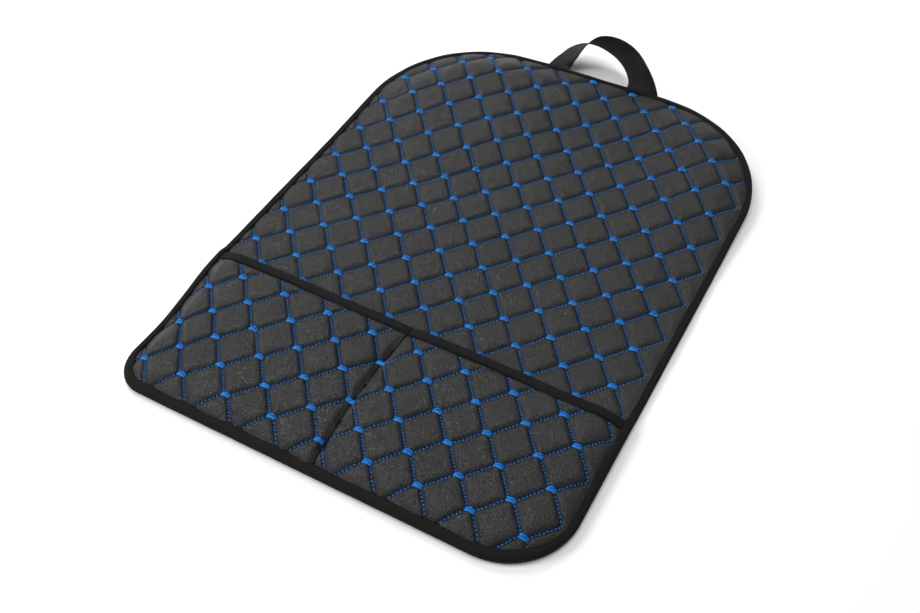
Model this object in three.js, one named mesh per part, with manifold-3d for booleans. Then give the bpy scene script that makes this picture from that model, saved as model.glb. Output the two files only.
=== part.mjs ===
// A car seat back organizer: a quilted faux leather mat with a divided pocket across its foot,
// bound all round with woven tape, and a webbing loop at its head. Millimetres, +Z up.
// It lies on its back as it would on a table. The origin is the middle of the mat's length and
// width, on the surface that it lies on. +Y runs from the pocket to the loop.
import * as THREE from "three";
import { mergeVertices } from "three/addons/utils/BufferGeometryUtils.js";
import Module from "manifold-3d";

// The mat's outline. It isn't quite even: its crown is fullest on the right, and its corners differ.
const MAT_WIDTH = 453.5;
const MAT_LENGTH = 632.5;
const LEFT_FOOT_CORNER_RADIUS = 47;
const RIGHT_FOOT_CORNER_RADIUS = 69;
const LEFT_SHOULDER_RADIUS = 143;
const RIGHT_SHOULDER_RADIUS = 150;
const CROWN_RADIUS = 1450;
const CROWN_X = 80;
const CORNER_STEPS = 7;
const CROWN_STEPS = 7;
const CURLED_SIDE_STEPS = 4;

// The quilting: diamonds, with a bar of stitches where the lines of two needles meet
const DIAMOND_WIDTH = 49.8;
const DIAMOND_LENGTH = 50.5;
const BACK_LATTICE = { knot: [-6.8, 0.5], lean: 0 };
const POCKET_LATTICE = { knot: [-6.2, -234.5], lean: 0.019 };
const KNOT_LENGTH = 9;
const KNOT_BREADTH = 3.2;
const THREAD_HEIGHT = 1.2;
const THREAD_RISE = 1.1;
const PILLOW_EDGE_SHARE = 0.25;
// A stitch line that runs out at the binding, as shares of the way to the knot that isn't there
const SHORTEST_FREE_LINE = 0.1;
const LONGEST_FREE_LINE = 0.87;
const FREE_LINE_STEP = 0.03;

// The quilted laminate's thickness at its stitches, in the middle of a diamond and in the binding
const STITCHED_THICKNESS = 2;
const PADDED_THICKNESS = 6.6;
const RIM_THICKNESS = 2.5;
const PADDING_RAMP = 25;

// The tapes
const TAPE_THICKNESS = 0.8;
const FOLD_ROUND_SHARE = 0.25;
const BINDING_WIDTH = 9.5;
const HEM_WIDTH = 11;
const CLEARANCE = 0.3;

// The pocket
const POCKET_HEIGHT = 183;
const POCKET_GAP = 5;
const POCKET_CLEARANCE = 0.7;
const POCKET_RAMP = 30;
const HEM_RAMP_STEPS = 4;
const DIVIDER_X = -4;
const VALLEY_WIDTH = 24;
const VALLEY_DEPTH = 7;
const SEAM_WIDTH = 1.4;
const SEAM_HEIGHT = 3;
const SEAM_TAPER = 5;
const SEAM_STATION_GAP = 14;

// The head of the mat is off the table. It arches up in two low waves and towards its crown, from where
// the curl starts, and its edge rolls back down by a share of that.
const CURL_LENGTH = 263;
const CURL_RISE_LENGTH = 173;
const LEFT_WAVE = { height: 13, x: -135, reach: 167 };
const RIGHT_WAVE = { height: 12, x: 206, reach: 138 };
const CROWN_WAVE = { height: 4.8, length: 108, riseLength: 80 };
const EDGE_ROLL = { share: 0.7, width: 50 };

// The webbing loop
const WEBBING_WIDTH = 40;
const WEBBING_THICKNESS = 1.5;
const WEBBING_CLEARANCE = 1.1;
const WEBBING_TAIL = 26;
const WEBBING_STAND_OFF = 4;
const LEFT_FOOT = { x: -55, turn: 0.15 };
const RIGHT_FOOT = { x: 49, turn: 0 };
const LOOP_REACH = 31;
const LOOP_HEIGHT = 33;
const LOOP_STATIONS = 20;
// The loop's form from its left foot to its right: how far it is across, out and up, in shares of its
// size, and which way its breadth points. It turns over once.
const LOOP_FORM = [
  { at: [0.12, 0.5, 0.58], breadth: [0.51, -0.77, 0.38] },
  { at: [0.3, 0.88, 0.94], breadth: [0.24, -0.7, 0.66] },
  { at: [0.5, 1, 1], breadth: [0.1, -0.45, 0.9] },
  { at: [0.72, 0.8, 0.87], breadth: [0.27, -0.25, 0.92] },
  { at: [0.89, 0.41, 0.57], breadth: [0.58, -0.18, 0.81] },
];

const HALF_WIDTH = MAT_WIDTH / 2;
const HALF_LENGTH = MAT_LENGTH / 2;
const CROWN_Y = HALF_LENGTH - CROWN_RADIUS;
const CURL_START_Y = HALF_LENGTH - CURL_LENGTH;
const MOUTH_Y = POCKET_HEIGHT - HALF_LENGTH;
const HEM_INNER_Y = MOUTH_Y - HEM_WIDTH;
const PITCH_X = DIAMOND_WIDTH / 2;
const PITCH_Y = DIAMOND_LENGTH / 2;
const HALF_KNOT = KNOT_LENGTH / 2;
const RIM_BOTTOM = TAPE_THICKNESS + CLEARANCE;
const RIM_TOP = RIM_BOTTOM + RIM_THICKNESS;
const POCKET_RIM_TOP = RIM_TOP + POCKET_CLEARANCE + RIM_THICKNESS;
const RIM_INSET = TAPE_THICKNESS + CLEARANCE;
const OPEN_INSET = BINDING_WIDTH + CLEARANCE;
const HEM_THICKNESS = RIM_THICKNESS + 2 * RIM_BOTTOM;
const HALF_VALLEY = VALLEY_WIDTH / 2;
const FAR = 60;
const SAME_POINT = 0.01;
const WELD = 1e-4;
const CURVE_TENSION = 0.5;

const wasm = await Module();
wasm.setup();

const smooth = (t) => {
  const u = THREE.MathUtils.clamp(t, 0, 1);
  return u * u * (3 - 2 * u);
};
const bell = (t) => Math.max(0, 1 - t * t) ** 2;

// Points round the mat's edge, anticlockwise from the middle of its foot, each with its outward normal
function edgeStations() {
  const stations = [];
  const arc = (cx, cy, radius, from, to, steps) => {
    for (let k = 0; k <= steps; k++) {
      const a = THREE.MathUtils.lerp(from, to, k / steps);
      const n = new THREE.Vector2(Math.cos(a), Math.sin(a));
      stations.push({ p: new THREE.Vector2(cx, cy).addScaledVector(n, radius), n });
    }
  };
  // A shoulder's middle, and the angle at which it meets the crown
  const shoulder = (sign, radius) => {
    const x = sign * (HALF_WIDTH - radius);
    const rise = Math.sqrt((CROWN_RADIUS - radius) ** 2 - (x - CROWN_X) ** 2);
    return { x, y: CROWN_Y + rise, meet: Math.atan2(rise, x - CROWN_X) };
  };
  const side = (sign, shoulderY) => {
    const ys = [MOUTH_Y, MOUTH_Y + BINDING_WIDTH];
    for (let k = 0; k < CURLED_SIDE_STEPS; k++) {
      ys.push(THREE.MathUtils.lerp(CURL_START_Y, shoulderY, k / CURLED_SIDE_STEPS));
    }
    const n = new THREE.Vector2(sign, 0);
    return ys.map((y) => ({ p: new THREE.Vector2(sign * HALF_WIDTH, y), n }));
  };
  const footCorner = (sign, radius, from) =>
    arc(sign * (HALF_WIDTH - radius), radius - HALF_LENGTH, radius, from, from + Math.PI / 2, CORNER_STEPS);
  const [left, right] = [shoulder(-1, LEFT_SHOULDER_RADIUS), shoulder(1, RIGHT_SHOULDER_RADIUS)];
  footCorner(1, RIGHT_FOOT_CORNER_RADIUS, -Math.PI / 2);
  stations.push(...side(1, right.y));
  arc(right.x, right.y, RIGHT_SHOULDER_RADIUS, 0, right.meet, CORNER_STEPS);
  arc(CROWN_X, CROWN_Y, CROWN_RADIUS, right.meet, left.meet, CROWN_STEPS);
  arc(left.x, left.y, LEFT_SHOULDER_RADIUS, left.meet, Math.PI, CORNER_STEPS);
  stations.push(...side(-1, left.y).toReversed());
  footCorner(-1, LEFT_FOOT_CORNER_RADIUS, Math.PI);
  return stations.filter((s, k) => s.p.distanceTo(stations.at(k - 1).p) > SAME_POINT);
}
const EDGE = edgeStations();
const insetPoint = ({ p, n }, inset) => p.clone().addScaledVector(n, -inset);

// Distance from a point to the mat's edge, positive inside it
function edgeDistance(x, y) {
  const q = new THREE.Vector2(x, y);
  const within = EDGE.map(({ p }, k) => {
    const along = EDGE[(k + 1) % EDGE.length].p.clone().sub(p);
    return along.cross(q.clone().sub(p)) / along.length();
  });
  return Math.min(...within);
}

// How far the mat's underside is off the table. The loop's tails fit under the raised head.
function lift(x, y) {
  const wave = (w) => w.height * bell((x - w.x) / w.reach);
  const raisedShare = smooth((y - CURL_START_Y) / CURL_RISE_LENGTH);
  const towardsCrown = smooth((y - HALF_LENGTH + CROWN_WAVE.length) / CROWN_WAVE.riseLength);
  const arch = (wave(LEFT_WAVE) + wave(RIGHT_WAVE)) * raisedShare + CROWN_WAVE.height * towardsCrown;
  const rolledDown = EDGE_ROLL.share * (1 - smooth(edgeDistance(x, y) / EDGE_ROLL.width));
  return (WEBBING_THICKNESS + WEBBING_CLEARANCE) * raisedShare + arch * (1 - rolledDown);
}

// How far the padding has risen to its full thickness, which starts at the binding
const puff = (x, y) => smooth((edgeDistance(x, y) - OPEN_INSET) / PADDING_RAMP);

// A quilting lattice: knot (i, j) is i steps up to the right and j steps down to the right of the first.
// Its columns may lean off the mat's length.
function latticePoint({ knot, lean }, i, j) {
  const up = (i - j) * PITCH_Y;
  return [knot[0] + (i + j) * PITCH_X + lean * up, knot[1] + up];
}
function latticePlace({ knot, lean }, x, y) {
  const up = y - knot[1];
  const [u, v] = [(x - knot[0] - lean * up) / PITCH_X, up / PITCH_Y];
  return [(u + v) / 2, (u - v) / 2];
}

// A value read at the back's knots, and flat over each half of a diamond between them
function overKnots(value) {
  const known = new Map();
  const at = (i, j) => {
    const key = `${i},${j}`;
    if (!known.has(key)) known.set(key, value(...latticePoint(BACK_LATTICE, i, j)));
    return known.get(key);
  };
  return (x, y) => {
    const [i, j] = latticePlace(BACK_LATTICE, x, y);
    const [i0, j0] = [Math.floor(i), Math.floor(j)];
    const [s, t] = [i - i0, j - j0];
    const [top, foot] = [at(i0 + 1, j0), at(i0, j0 + 1)];
    if (s + t < 1) return (1 - s - t) * at(i0, j0) + s * top + t * foot;
    return (s + t - 1) * at(i0 + 1, j0 + 1) + (1 - t) * top + (1 - s) * foot;
  };
}
const raised = overKnots(lift);
const padded = (x, y, rim) => THREE.MathUtils.lerp(rim + CLEARANCE, PADDED_THICKNESS, puff(x, y));
const backCrown = overKnots((x, y) => padded(x, y, RIM_TOP));

// Thickness at the stitches, which is the rim's at the binding
const stitchedThickness = (x, y, rim) => THREE.MathUtils.lerp(rim + CLEARANCE, STITCHED_THICKNESS, puff(x, y));

// Height of the pocket's underside. It is held down at the mat's edge and at the divider.
const pocketUnder = overKnots((x, y) => {
  const held = Math.min(edgeDistance(x, y) - OPEN_INSET, Math.abs(x - DIVIDER_X) - SEAM_WIDTH);
  return backCrown(x, y) + POCKET_CLEARANCE + POCKET_GAP * smooth(held / POCKET_RAMP);
});

// A closed mesh from its corners and triangles, with its faces turned outwards
function closedGeometry(points, triangles) {
  const at = (k) => new THREE.Vector3(...points[k]);
  const volume = triangles.reduce((sum, [a, b, c]) => sum + at(a).dot(at(b).cross(at(c))), 0);
  const faces = volume < 0 ? triangles.map(([a, b, c]) => [a, c, b]) : triangles;
  const geometry = new THREE.BufferGeometry();
  geometry.setAttribute("position", new THREE.Float32BufferAttribute(points.flat(), 3));
  geometry.setIndex(faces.flat());
  return geometry;
}

// A solid swept through rings of corners. It closes on itself, or on its ends if their faces are given.
function sweep(rings, capFaces) {
  const size = rings[0].length;
  const triangles = [];
  for (let k = 0; k < (capFaces ? rings.length - 1 : rings.length); k++) {
    const a = k * size;
    const b = ((k + 1) % rings.length) * size;
    for (let m = 0; m < size; m++) {
      const n = (m + 1) % size;
      triangles.push([a + m, a + n, b + n], [a + m, b + n, b + m]);
    }
  }
  if (capFaces) {
    const last = (rings.length - 1) * size;
    for (const [i, j, k] of capFaces) triangles.push([k, j, i], [last + i, last + j, last + k]);
  }
  return closedGeometry(rings.flat(), triangles);
}
const QUAD_CAP = [[0, 1, 2], [0, 2, 3]];
const facesOf = (section) => {
  const corners = section.map((p) => new THREE.Vector2(...p));
  return THREE.ShapeUtils.triangulateShape(corners, []);
};

function solid(geometry) {
  const bare = geometry.clone();
  bare.deleteAttribute("normal");
  bare.deleteAttribute("uv");
  const merged = mergeVertices(bare, WELD);
  return new wasm.Manifold(
    new wasm.Mesh({
      numProp: 3,
      vertProperties: merged.getAttribute("position").array,
      triVerts: new Uint32Array(merged.index.array),
    }),
  );
}

function geometryOf(manifold) {
  const mesh = manifold.getMesh();
  const geometry = new THREE.BufferGeometry();
  geometry.setAttribute("position", new THREE.BufferAttribute(mesh.vertProperties, 3));
  geometry.setIndex(new THREE.BufferAttribute(mesh.triVerts, 1));
  return geometry;
}

// The solid between a surface, given as triangles of corners, and a level plane
function solidTo(plane, surface) {
  const points = [];
  const numbers = new Map();
  const number = (p) => {
    const key = p.map((v) => v.toFixed(3)).join();
    if (!numbers.has(key)) numbers.set(key, points.push(p) - 1);
    return numbers.get(key);
  };
  const triangles = surface.map((corners) => corners.map(number));
  const edges = new Map();
  for (const t of triangles) t.forEach((a, m) => edges.set(`${a},${t[(m + 1) % 3]}`, [a, t[(m + 1) % 3]]));
  const border = [...edges.values()].filter(([a, b]) => !edges.has(`${b},${a}`));
  const below = new Map();
  for (const [a] of border) below.set(a, points.push([points[a][0], points[a][1], plane]) - 1);
  const middle = [0, 1].map((axis) => border.reduce((sum, [a]) => sum + points[a][axis], 0) / border.length);
  const centre = points.push([...middle, plane]) - 1;
  for (const [a, b] of border) {
    const [belowA, belowB] = [below.get(a), below.get(b)];
    triangles.push([a, belowA, belowB], [a, belowB, b], [belowA, centre, belowB]);
  }
  return solid(closedGeometry(points, triangles));
}

// Every diamond that a region of the mat can touch, by its left knot
function diamonds(lattice, [x0, y0, x1, y1]) {
  const corners = [[x0, y0], [x1, y0], [x0, y1], [x1, y1]].map(([x, y]) => latticePlace(lattice, x, y));
  const ends = (axis) => {
    const values = corners.map((c) => c[axis]);
    return [Math.floor(Math.min(...values)), Math.ceil(Math.max(...values))];
  };
  const [[i0, i1], [j0, j1]] = [ends(0), ends(1)];
  const list = [];
  for (let i = i0; i < i1; i++) {
    for (let j = j0; j < j1; j++) list.push([i, j]);
  }
  return list;
}

// A surface with a flat pillow in each diamond, and grooves along the stitch lines between the knots' ends.
// It is left plain below plainY.
function quiltedSurface(lattice, region, stitched, crown, plainY = -MAT_LENGTH) {
  return diamonds(lattice, region).flatMap(([i, j]) => {
    const knotEnd = (di, dj, side) => {
      const [x, y] = latticePoint(lattice, i + di, j + dj);
      const height = y < plainY ? crown : stitched;
      return [x + side * HALF_KNOT, y, height(x + side * HALF_KNOT, y)];
    };
    const pillow = (s, t) => {
      const [x, y] = latticePoint(lattice, i + s, j + t);
      return [x, y, crown(x, y)];
    };
    const [near, far] = [PILLOW_EDGE_SHARE, 1 - PILLOW_EDGE_SHARE];
    const [left, right] = [knotEnd(0, 0, 1), knotEnd(1, 1, -1)];
    const [footLeft, footRight] = [knotEnd(0, 1, -1), knotEnd(0, 1, 1)];
    const [headLeft, headRight] = [knotEnd(1, 0, -1), knotEnd(1, 0, 1)];
    if (latticePoint(lattice, i + 1, j)[1] < plainY) {
      return [
        [left, footLeft, headLeft], [footLeft, footRight, headLeft],
        [footRight, headRight, headLeft], [footRight, right, headRight],
      ];
    }
    const [w, s, e, n] = [pillow(near, near), pillow(near, far), pillow(far, far), pillow(far, near)];
    return [
      [left, footLeft, s], [left, s, w],
      [footLeft, footRight, s],
      [footRight, right, e], [footRight, e, s],
      [right, headRight, n], [right, n, e],
      [headRight, headLeft, n],
      [headLeft, left, w], [headLeft, w, n],
      [w, s, n], [s, e, n],
    ];
  });
}

// A surface with corners at the back's knots only
function plainSurface(region, height) {
  return diamonds(BACK_LATTICE, region).flatMap(([i, j]) => {
    const corner = (di, dj) => {
      const [x, y] = latticePoint(BACK_LATTICE, i + di, j + dj);
      return [x, y, height(x, y)];
    };
    const [left, head, right, foot] = [corner(0, 0), corner(1, 0), corner(1, 1), corner(0, 1)];
    return [[left, foot, head], [foot, right, head]];
  });
}

// The prism inside the mat's edge, inset from it
function edgePrism(inset) {
  const shape = new THREE.Shape(EDGE.map((s) => insetPoint(s, inset)));
  const geometry = new THREE.ExtrudeGeometry(shape, { depth: 2 * FAR, bevelEnabled: false });
  return solid(geometry.translate(0, 0, -FAR));
}

// The space along the mat's edge that a leaf of the binding takes up, between two heights over the underside
function edgeStrip(low, high) {
  const rings = EDGE.map((s) => {
    const inner = insetPoint(s, OPEN_INSET);
    const outer = s.p;
    const z = raised(s.p.x, s.p.y);
    return [
      [outer.x, outer.y, z + low],
      [outer.x, outer.y, z + high],
      [inner.x, inner.y, z + high],
      [inner.x, inner.y, z + low],
    ];
  });
  return solid(sweep(rings));
}

const MAT_REGION = [-HALF_WIDTH, -HALF_LENGTH, HALF_WIDTH, HALF_LENGTH];
const POCKET_REGION = [-HALF_WIDTH, -HALF_LENGTH, HALF_WIDTH, MOUTH_Y];

const backStitched = (x, y) => raised(x, y) + stitchedThickness(x, y, RIM_TOP);
function backPanel() {
  const crown = (x, y) => raised(x, y) + backCrown(x, y);
  return solidTo(-FAR, quiltedSurface(BACK_LATTICE, MAT_REGION, backStitched, crown, HEM_INNER_Y - PITCH_Y))
    .intersect(solidTo(2 * FAR, plainSurface(MAT_REGION, raised)))
    .intersect(edgePrism(RIM_INSET))
    .subtract(edgeStrip(RIM_TOP, FAR))
    .subtract(edgeStrip(-FAR, RIM_BOTTOM));
}

// Places across the mat where the hem and its cuts bend
function hemXs() {
  const end = HALF_WIDTH - OPEN_INSET;
  const steps = Array.from({ length: HEM_RAMP_STEPS + 1 }, (_, k) => (k / HEM_RAMP_STEPS) * POCKET_RAMP);
  const from = (x, sign) => steps.map((step) => x + sign * step);
  const xs = [from(-end, 1), from(DIVIDER_X, -1), from(DIVIDER_X, 1), from(end, -1)].flat();
  return [...new Set(xs)].sort((a, b) => a - b);
}

// A bar across the mat along the hem. Its section is a list of [y, height above the pocket's underside].
const acrossHem = (section, xs) =>
  sweep(xs.map((x) => section.map(([y, z]) => [x, y, pocketUnder(x, HEM_INNER_Y) + z])), facesOf(section));

function hemCut(low, high) {
  const xs = [-HALF_WIDTH, ...hemXs(), HALF_WIDTH];
  const [inner, outer] = [HEM_INNER_Y - CLEARANCE, MOUTH_Y + HEM_WIDTH];
  return solid(acrossHem([[inner, low], [outer, low], [outer, high], [inner, high]], xs));
}

// The section of a tape folded over an edge: [distance from the fold, height], for the height over all
function foldedTape(width, height) {
  const round = height * FOLD_ROUND_SHARE;
  const t = TAPE_THICKNESS;
  return [
    [width, 0],
    [round, 0],
    [0, round],
    [0, height - round],
    [round, height],
    [width, height],
    [width, height - t],
    [t, height - t],
    [t, t],
    [width, t],
  ];
}

const pocketHem = () =>
  acrossHem(foldedTape(HEM_WIDTH, HEM_THICKNESS).map(([depth, z]) => [MOUTH_Y - depth, z]), hemXs());

// The pocket is stitched down to its quilted thickness, and less so where it runs into its hem
function pocketStitched(x, y) {
  const inHem = smooth(1 + (y - HEM_INNER_Y) / (PITCH_Y / 2));
  const thickness = stitchedThickness(x, y, RIM_THICKNESS);
  return pocketUnder(x, y) + THREE.MathUtils.lerp(thickness, RIM_TOP + CLEARANCE, inHem);
}

function pocketPanel() {
  const crown = (x, y) => pocketUnder(x, y) + padded(x, y, RIM_THICKNESS);
  const pastMouth = new THREE.BoxGeometry(2 * MAT_WIDTH, MAT_LENGTH, 4 * FAR);
  pastMouth.translate(0, MOUTH_Y - RIM_INSET + HALF_LENGTH, 0);
  return solidTo(-FAR, quiltedSurface(POCKET_LATTICE, POCKET_REGION, pocketStitched, crown))
    .intersect(solidTo(2 * FAR, plainSurface(POCKET_REGION, pocketUnder)))
    .intersect(edgePrism(RIM_INSET))
    .subtract(solid(pastMouth))
    .subtract(edgeStrip(POCKET_RIM_TOP, FAR))
    .subtract(hemCut(RIM_TOP, FAR))
    .subtract(hemCut(-FAR, RIM_BOTTOM))
    .subtract(dividerValley());
}

// The tape folded over the mat's edge. It is thicker where it also holds the pocket.
function edgeBinding() {
  const rings = EDGE.map((s) => {
    const holdsPocket = s.p.y < MOUTH_Y + CLEARANCE;
    const height = (holdsPocket ? POCKET_RIM_TOP : RIM_TOP) + RIM_BOTTOM;
    return foldedTape(BINDING_WIDTH, height).map(([inset, z]) => {
      const p = insetPoint(s, inset);
      return [p.x, p.y, raised(s.p.x, s.p.y) + z];
    });
  });
  return sweep(rings);
}

// The divider pulls the pocket down to the back along a straight valley
const valleyFloor = (y) => pocketUnder(DIVIDER_X, y) + STITCHED_THICKNESS;

function valleyYs() {
  const from = OPEN_INSET - HALF_LENGTH;
  const spans = Math.round((HEM_INNER_Y - from) / SEAM_STATION_GAP);
  return Array.from({ length: spans + 1 }, (_, k) => THREE.MathUtils.lerp(from, HEM_INNER_Y, k / spans));
}

function dividerValley() {
  const ys = valleyYs();
  const rings = [-HALF_LENGTH, ...ys, MOUTH_Y].map((y) => {
    const low = valleyFloor(THREE.MathUtils.clamp(y, ys[0], HEM_INNER_Y));
    return [
      [DIVIDER_X - SEAM_WIDTH, y, low],
      [DIVIDER_X + SEAM_WIDTH, y, low],
      [DIVIDER_X + HALF_VALLEY, y, low + VALLEY_DEPTH],
      [DIVIDER_X - HALF_VALLEY, y, low + VALLEY_DEPTH],
    ];
  });
  return solid(sweep(rings, QUAD_CAP));
}

// The quilting's thread as one net of ridges: a short one for the bar at each knot, and a line from each of
// its ends along each side of a diamond. It can be grown all round, to cut its own space in what crosses it.
function threadNet(lattice, region, inside, stitched, grow = 0) {
  const points = [];
  const triangles = [];
  const half = KNOT_BREADTH / 2 + grow;
  const corner = (x, y, z) => points.push([x, y, z + THREAD_RISE - grow]) - 1;
  const ridgeTop = THREAD_HEIGHT + 2 * grow;
  // A ridge joins two ends, each its lower and higher corner up the mat and its top, from left to right
  const ridge = ([low, high, top], [nextLow, nextHigh, nextTop]) => {
    triangles.push([low, high, nextHigh], [low, nextHigh, nextLow]);
    triangles.push([low, nextLow, nextTop], [low, nextTop, top]);
    triangles.push([high, top, nextTop], [high, nextTop, nextHigh]);
  };
  const cap = ([low, high, top], side) => triangles.push(side > 0 ? [low, high, top] : [high, low, top]);

  // Each end of a knot's bar is a joint of three ridges, with its outer corner between the two lines
  const addKnot = (x, y) => {
    const joint = (side) => {
      const z = stitched(x + side * HALF_KNOT, y);
      const end = x + side * (HALF_KNOT + grow);
      const outer = corner(end + side * half / 2, y, z);
      const [low, high] = [-half, half].map((dy) => corner(end, y + dy, z));
      const top = corner(end, y, z + ridgeTop);
      triangles.push(side > 0 ? [low, high, outer] : [high, low, outer]);
      return { bar: [low, high, top], up: [outer, high, top], down: [low, outer, top] };
    };
    const [l, r] = [joint(-1), joint(1)];
    ridge(l.bar, r.bar);
    return { rightUp: r.up, rightDown: r.down, leftUp: l.up, leftDown: l.down };
  };

  const knots = new Map();
  for (const [i, j] of diamonds(lattice, region)) {
    const [x, y] = latticePoint(lattice, i, j);
    if (inside(x - HALF_KNOT, y) && inside(x + HALF_KNOT, y)) {
      knots.set(`${i},${j}`, { i, j, x, y, ends: addKnot(x, y) });
    }
  }
  const lines = [
    { step: [1, 0], side: 1, from: "rightUp", to: "leftDown" },
    { step: [0, 1], side: 1, from: "rightDown", to: "leftUp" },
    { step: [0, -1], side: -1, from: "leftUp", to: "rightDown" },
    { step: [-1, 0], side: -1, from: "leftDown", to: "rightUp" },
  ];
  for (const { i, j, x, y, ends } of knots.values()) {
    for (const { step, side, from, to } of lines) {
      const next = knots.get(`${i + step[0]},${j + step[1]}`);
      if (next) {
        if (side > 0) ridge(ends[from], next.ends[to]);
        continue;
      }
      const start = new THREE.Vector2(x + side * HALF_KNOT, y);
      const goal = new THREE.Vector2(...latticePoint(lattice, i + step[0], j + step[1]));
      goal.x -= side * HALF_KNOT;
      let share = 0;
      while (share < LONGEST_FREE_LINE && inside(...start.clone().lerp(goal, share + FREE_LINE_STEP))) {
        share += FREE_LINE_STEP;
      }
      const stop = start.lerp(goal, share);
      if (share < SHORTEST_FREE_LINE) {
        cap(ends[from], side);
      } else {
        const z = stitched(stop.x, stop.y);
        const [low, high] = [-half / 2, half / 2].map((dy) => corner(stop.x, stop.y + dy, z));
        const free = [low, high, corner(stop.x, stop.y, z + ridgeTop)];
        if (side > 0) ridge(ends[from], free);
        else ridge(free, ends[from]);
        cap(free, side);
      }
    }
  }
  return closedGeometry(points, triangles);
}

const clearOfBinding = (x, y) => edgeDistance(x, y) > OPEN_INSET + KNOT_BREADTH / 2;
const backThread = () =>
  threadNet(
    BACK_LATTICE,
    MAT_REGION,
    (x, y) => clearOfBinding(x, y) && y > HEM_INNER_Y,
    backStitched,
  );
const pocketThread = (grow) =>
  threadNet(
    POCKET_LATTICE,
    POCKET_REGION,
    (x, y) => clearOfBinding(x, y) && y < HEM_INNER_Y - KNOT_BREADTH / 2,
    pocketStitched,
    grow,
  );

// The divider's black stitches, along the valley, over the quilting's thread and over the hem
function dividerSeam() {
  const ys = valleyYs();
  const hemTop = pocketUnder(DIVIDER_X, HEM_INNER_Y) + HEM_THICKNESS;
  const line = ys.slice(0, -1).map((y) => [y, valleyFloor(y) + CLEARANCE, SEAM_HEIGHT]);
  line.push([HEM_INNER_Y - SEAM_TAPER, valleyFloor(HEM_INNER_Y - SEAM_TAPER) + CLEARANCE, SEAM_HEIGHT]);
  line.push([HEM_INNER_Y - 2 * CLEARANCE, hemTop + CLEARANCE, SEAM_WIDTH / 2]);
  line.push([MOUTH_Y - SEAM_WIDTH, hemTop + CLEARANCE, SEAM_WIDTH / 2]);
  const half = SEAM_WIDTH / 2;
  const rings = line.map(([y, z, height]) => [
    [DIVIDER_X - half, y, z],
    [DIVIDER_X + half, y, z],
    [DIVIDER_X + half, y, z + height],
    [DIVIDER_X - half, y, z + height],
  ]);
  return solid(sweep(rings, QUAD_CAP))
    .subtract(solid(pocketThread(3 * CLEARANCE)));
}

// The webbing: two tails under the mat's head, and a loop between them that turns over once.
// A ring has three corners across each face, left to right on one and back on the other.
function webbingLoop() {
  const span = RIGHT_FOOT.x - LEFT_FOOT.x;
  const crownCentre = new THREE.Vector2(CROWN_X, CROWN_Y);
  const across = [-WEBBING_WIDTH / 2, 0, WEBBING_WIDTH / 2];
  const ring = (face, back) => [...face, ...back.toReversed()].map((p) => p.toArray());
  const footAt = ({ x, turn }, back) => {
    const along = new THREE.Vector2(Math.sin(turn), Math.cos(turn));
    const edge = new THREE.Vector2(x, CROWN_Y + Math.sqrt(CROWN_RADIUS ** 2 - (x - CROWN_X) ** 2));
    return { centre: edge.addScaledVector(along, -back), breadth: new THREE.Vector2(along.y, -along.x) };
  };
  const underEdge = (p) => {
    const nearest = p.clone().sub(crownCentre).setLength(CROWN_RADIUS).add(crownCentre);
    return raised(nearest.x, nearest.y) - WEBBING_CLEARANCE;
  };
  // Under the mat, and until it is all past the mat's edge, every corner is level with the edge above it
  const tailRing = (foot, back, turnedOver) => {
    const { centre, breadth } = footAt(foot, back);
    const rows = [0, WEBBING_THICKNESS].map((drop) =>
      across.map((side) => {
        const p = centre.clone().addScaledVector(breadth, side);
        return new THREE.Vector3(p.x, p.y, underEdge(p) - drop);
      }),
    );
    return turnedOver ? ring(rows[1], rows[0]) : ring(rows[0], rows[1]);
  };
  const overhang = ({ turn }) =>
    (Math.abs(Math.sin(turn)) * (WEBBING_WIDTH / 2) + WEBBING_STAND_OFF) / Math.cos(turn);
  const guide = (foot, back) => {
    const { centre, breadth } = footAt(foot, back);
    const z = underEdge(centre) - WEBBING_THICKNESS / 2;
    return {
      centre: new THREE.Vector3(centre.x, centre.y, z),
      breadth: new THREE.Vector3(breadth.x, breadth.y, 0),
    };
  };
  const guides = [
    guide(LEFT_FOOT, WEBBING_TAIL),
    guide(LEFT_FOOT, -overhang(LEFT_FOOT)),
    ...LOOP_FORM.map(({ at: [x, y, z], breadth }) => ({
      centre: new THREE.Vector3(LEFT_FOOT.x + x * span, HALF_LENGTH + y * LOOP_REACH, z * LOOP_HEIGHT),
      breadth: new THREE.Vector3(...breadth),
    })),
    guide(RIGHT_FOOT, -overhang(RIGHT_FOOT)),
    guide(RIGHT_FOOT, WEBBING_TAIL),
  ];
  const curveThrough = (points) => new THREE.CatmullRomCurve3(points, false, "catmullrom", CURVE_TENSION);
  const centres = curveThrough(guides.map((g) => g.centre));
  const breadths = curveThrough(guides.map((g) => g.breadth));
  const loopRing = (k) => {
    const u = (1 + (k / LOOP_STATIONS) * (guides.length - 3)) / (guides.length - 1);
    const breadth = breadths.getPoint(u).normalize();
    const normal = breadth.clone().cross(centres.getTangent(u)).setLength(WEBBING_THICKNESS / 2);
    const rows = [1, -1].map((face) =>
      across.map((side) => centres.getPoint(u).addScaledVector(breadth, side).addScaledVector(normal, face)),
    );
    return ring(...rows);
  };
  const tail = (foot) => [WEBBING_TAIL, WEBBING_TAIL / 2, 0, -overhang(foot)];
  const rings = [
    ...tail(LEFT_FOOT).map((back) => tailRing(LEFT_FOOT, back, false)),
    ...Array.from({ length: LOOP_STATIONS - 1 }, (_, k) => loopRing(k + 1)),
    ...tail(RIGHT_FOOT).toReversed().map((back) => tailRing(RIGHT_FOOT, back, true)),
  ];
  return sweep(rings, [[0, 1, 5], [1, 4, 5], [1, 2, 4], [2, 3, 4]]);
}

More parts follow.
